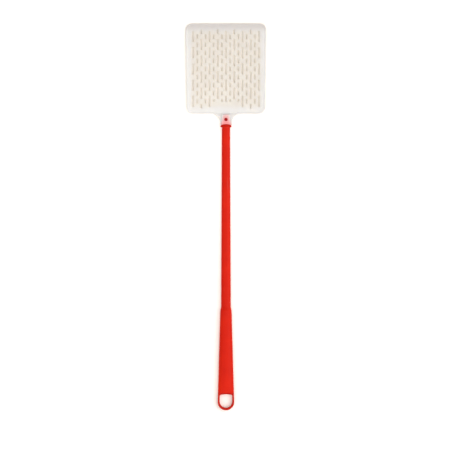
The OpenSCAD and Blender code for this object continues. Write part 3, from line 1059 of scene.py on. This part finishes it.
def milky_plastic(name):
    """Soft polyethylene: waxy, faintly uneven, warmer in the field, with painted shade at the far end and
    by the neck, and a painted pink glow over the tongue.
    """
    m = Nodes(name)
    cloud = m.noise(70, 4)
    flow = m.noise(90, 3, stretch=(1, 0.25, 1))
    grain = m.noise(1800, 2)
    scratches = m.span(m.noise(1100, 2, stretch=(1, 0.04, 1)), 0.64, 0.74)
    plain = m.colours(m.span(cloud, 0.3, 0.7), *PLAIN_MILK)
    warm = m.colours(m.span(cloud, 0.3, 0.7), *FIELD_MILK)
    base = m.colours(m.attribute("perforated"), plain, warm)
    # Painted shade: greyer at the blade's far end and round the neck
    base = m.colours(m.attribute("painted_shade"), base, SHADED_MILK)
    # Painted glow of the red tongue seen through the neck
    base = m.colours(m.attribute("tongue_glow"), base, TONGUE_GLOW_PINK)
    m.link(base, m.shader.inputs["Base Color"])
    m.link(m.span(flow, 0.3, 0.7, 0.33, 0.45), m.shader.inputs["Roughness"])
    m.shader.inputs["Specular IOR Level"].default_value = 0.4
    m.shader.inputs["Subsurface Weight"].default_value = 0.25
    m.shader.inputs["Subsurface Radius"].default_value = (1, 0.9, 0.75)
    m.shader.inputs["Subsurface Scale"].default_value = 1.2 * MM
    m.bump([(flow, 0.08 * MM), (grain, 0.01 * MM), (scratches, 0.006 * MM)])
    through = m.add("ShaderNodeBsdfTranslucent")
    through.inputs["Color"].default_value = (*THROUGH_MILK, 1)
    both = m.add("ShaderNodeMixShader")
    both.inputs["Fac"].default_value = THROUGH_SHARE
    m.link(m.shader.outputs["BSDF"], both.inputs[1])
    m.link(through.outputs["BSDF"], both.inputs[2])
    m.link(both.outputs["Shader"], m.tree.nodes["Material Output"].inputs["Surface"])
    return m.material


def light_table(name):
    """White floor that glows a little, so that the slots and the milky sheet aren't dark."""
    m = Nodes(name)
    tone = m.span(m.noise(6, 2), 0.3, 0.7)
    m.link(m.colours(tone, *FLOOR_WHITE), m.shader.inputs["Base Color"])
    m.shader.inputs["Roughness"].default_value = 0.9
    m.shader.inputs["Specular IOR Level"].default_value = 0.1
    m.shader.inputs["Emission Color"].default_value = (*FLOOR_GLOW, 1)
    m.shader.inputs["Emission Strength"].default_value = FLOOR_GLOW_STRENGTH
    return m.material


def dress(piece, material):
    """Gives a piece its one material."""
    piece.data.materials.clear()
    piece.data.materials.append(material)


# ---------------------------------------------------------------- studio

# Camera straight above, and the width of the plane at the blade's height that it takes in
VIEW_CENTRE_X = -1.1 * MM
VIEW_CENTRE_Y = -9.5 * MM
CAMERA_HEIGHT = 2.5
VIEW_W = 0.5236
SENSOR_W = 36

# Suns: name, strength, softness, azimuth from +Y towards +X, and elevation, the last three in degrees
SUNS = (
    ("sky", 1.05, 110, 0, 90),
    ("key", 1.45, 60, 80, 52),
    ("fill", 0.8, 80, 215, 50),
)

# Small soft panel over the blade's near left part
PANEL_WATTS = 0.06
PANEL_SIZE = 0.1
PANEL_PLACE = (-0.03, 0.06, 0.16)
PANEL_TARGET = (-0.03, 0.12, 0)

WORLD_STRENGTH = 0.25
FLOOR_HALF = 3


def make_camera():
    """Long lens straight above the middle of the view."""
    data = bpy.data.cameras.new("camera")
    data.sensor_width = SENSOR_W
    data.lens = SENSOR_W * CAMERA_HEIGHT / VIEW_W
    camera = bpy.data.objects.new("camera", data)
    camera.location = (VIEW_CENTRE_X, VIEW_CENTRE_Y, BLADE_Z + CAMERA_HEIGHT)
    bpy.context.scene.collection.objects.link(camera)
    bpy.context.scene.camera = camera


def make_sun(name, strength, soft_deg, azimuth, elevation):
    """Sun of an angular size, from an azimuth and an elevation, all in degrees."""
    data = bpy.data.lights.new(name, "SUN")
    data.energy = strength
    data.angle = math.radians(soft_deg)
    sun = bpy.data.objects.new(name, data)
    a, e = math.radians(azimuth), math.radians(elevation)
    towards = Vector((math.sin(a) * math.cos(e), math.cos(a) * math.cos(e), math.sin(e)))
    sun.rotation_mode = "QUATERNION"
    sun.rotation_quaternion = towards.to_track_quat("Z", "Y")
    bpy.context.scene.collection.objects.link(sun)


def make_panel(name, watts, size, place, target, lit):
    """Square soft light over a target, for a list of pieces alone."""
    data = bpy.data.lights.new(name, "AREA")
    data.energy = watts
    data.size = size
    panel = bpy.data.objects.new(name, data)
    panel.location = place
    panel.rotation_mode = "QUATERNION"
    panel.rotation_quaternion = (Vector(place) - Vector(target)).to_track_quat("Z", "Y")
    panel.visible_camera = False
    bpy.context.scene.collection.objects.link(panel)
    receivers = bpy.data.collections.new(name + "_lit")
    for piece in lit:
        receivers.objects.link(piece)
    panel.light_linking.receiver_collection = receivers


def make_floor():
    """Plane that the swatter lies on."""
    corners = [(x * FLOOR_HALF, y * FLOOR_HALF, 0) for x, y in ((-1, -1), (1, -1), (1, 1), (-1, 1))]
    floor = new_piece("floor", corners, [(0, 1, 2, 3)])
    dress(floor, light_table("light_table"))
    return floor


def make_world():
    """Even white light from all round."""
    world = bpy.data.worlds.new("studio")
    world.use_nodes = True
    background = world.node_tree.nodes["Background"]
    background.inputs["Color"].default_value = (1, 1, 1, 1)
    background.inputs["Strength"].default_value = WORLD_STRENGTH
    bpy.context.scene.world = world
    bpy.context.scene.view_settings.view_transform = "Standard"


make_camera()
make_world()
floor = make_floor()
for sun in SUNS:
    make_sun(*sun)

handle_red = red_plastic("handle_red", HANDLE_RED, worn=1)
# Painted shade: darker copy of the handle's red for the collar and tongue
shaded_collar_red = red_plastic("shaded_collar_red", SHADED_COLLAR_RED, worn=0.6)
# Painted shade: darker copy of the handle's red for the hang loop's ring
shaded_ring_red = red_plastic("shaded_ring_red", SHADED_RING_RED, worn=0.8)
# Painted shade: darker copy of the handle's red for the peg
shaded_peg_red = red_plastic("shaded_peg_red", SHADED_PEG_RED, worn=0.6)
milky = milky_plastic("milky_polyethylene")

dress(make_handle(), handle_red)
dress(make_hang_loop(), shaded_ring_red)
dress(make_collar(), shaded_collar_red)
dress(make_tongue(), shaded_collar_red)
dress(make_peg(), shaded_peg_red)
blade = make_blade()
dress(blade, milky)
make_panel("near_panel", PANEL_WATTS, PANEL_SIZE, PANEL_PLACE, PANEL_TARGET, [blade, floor])
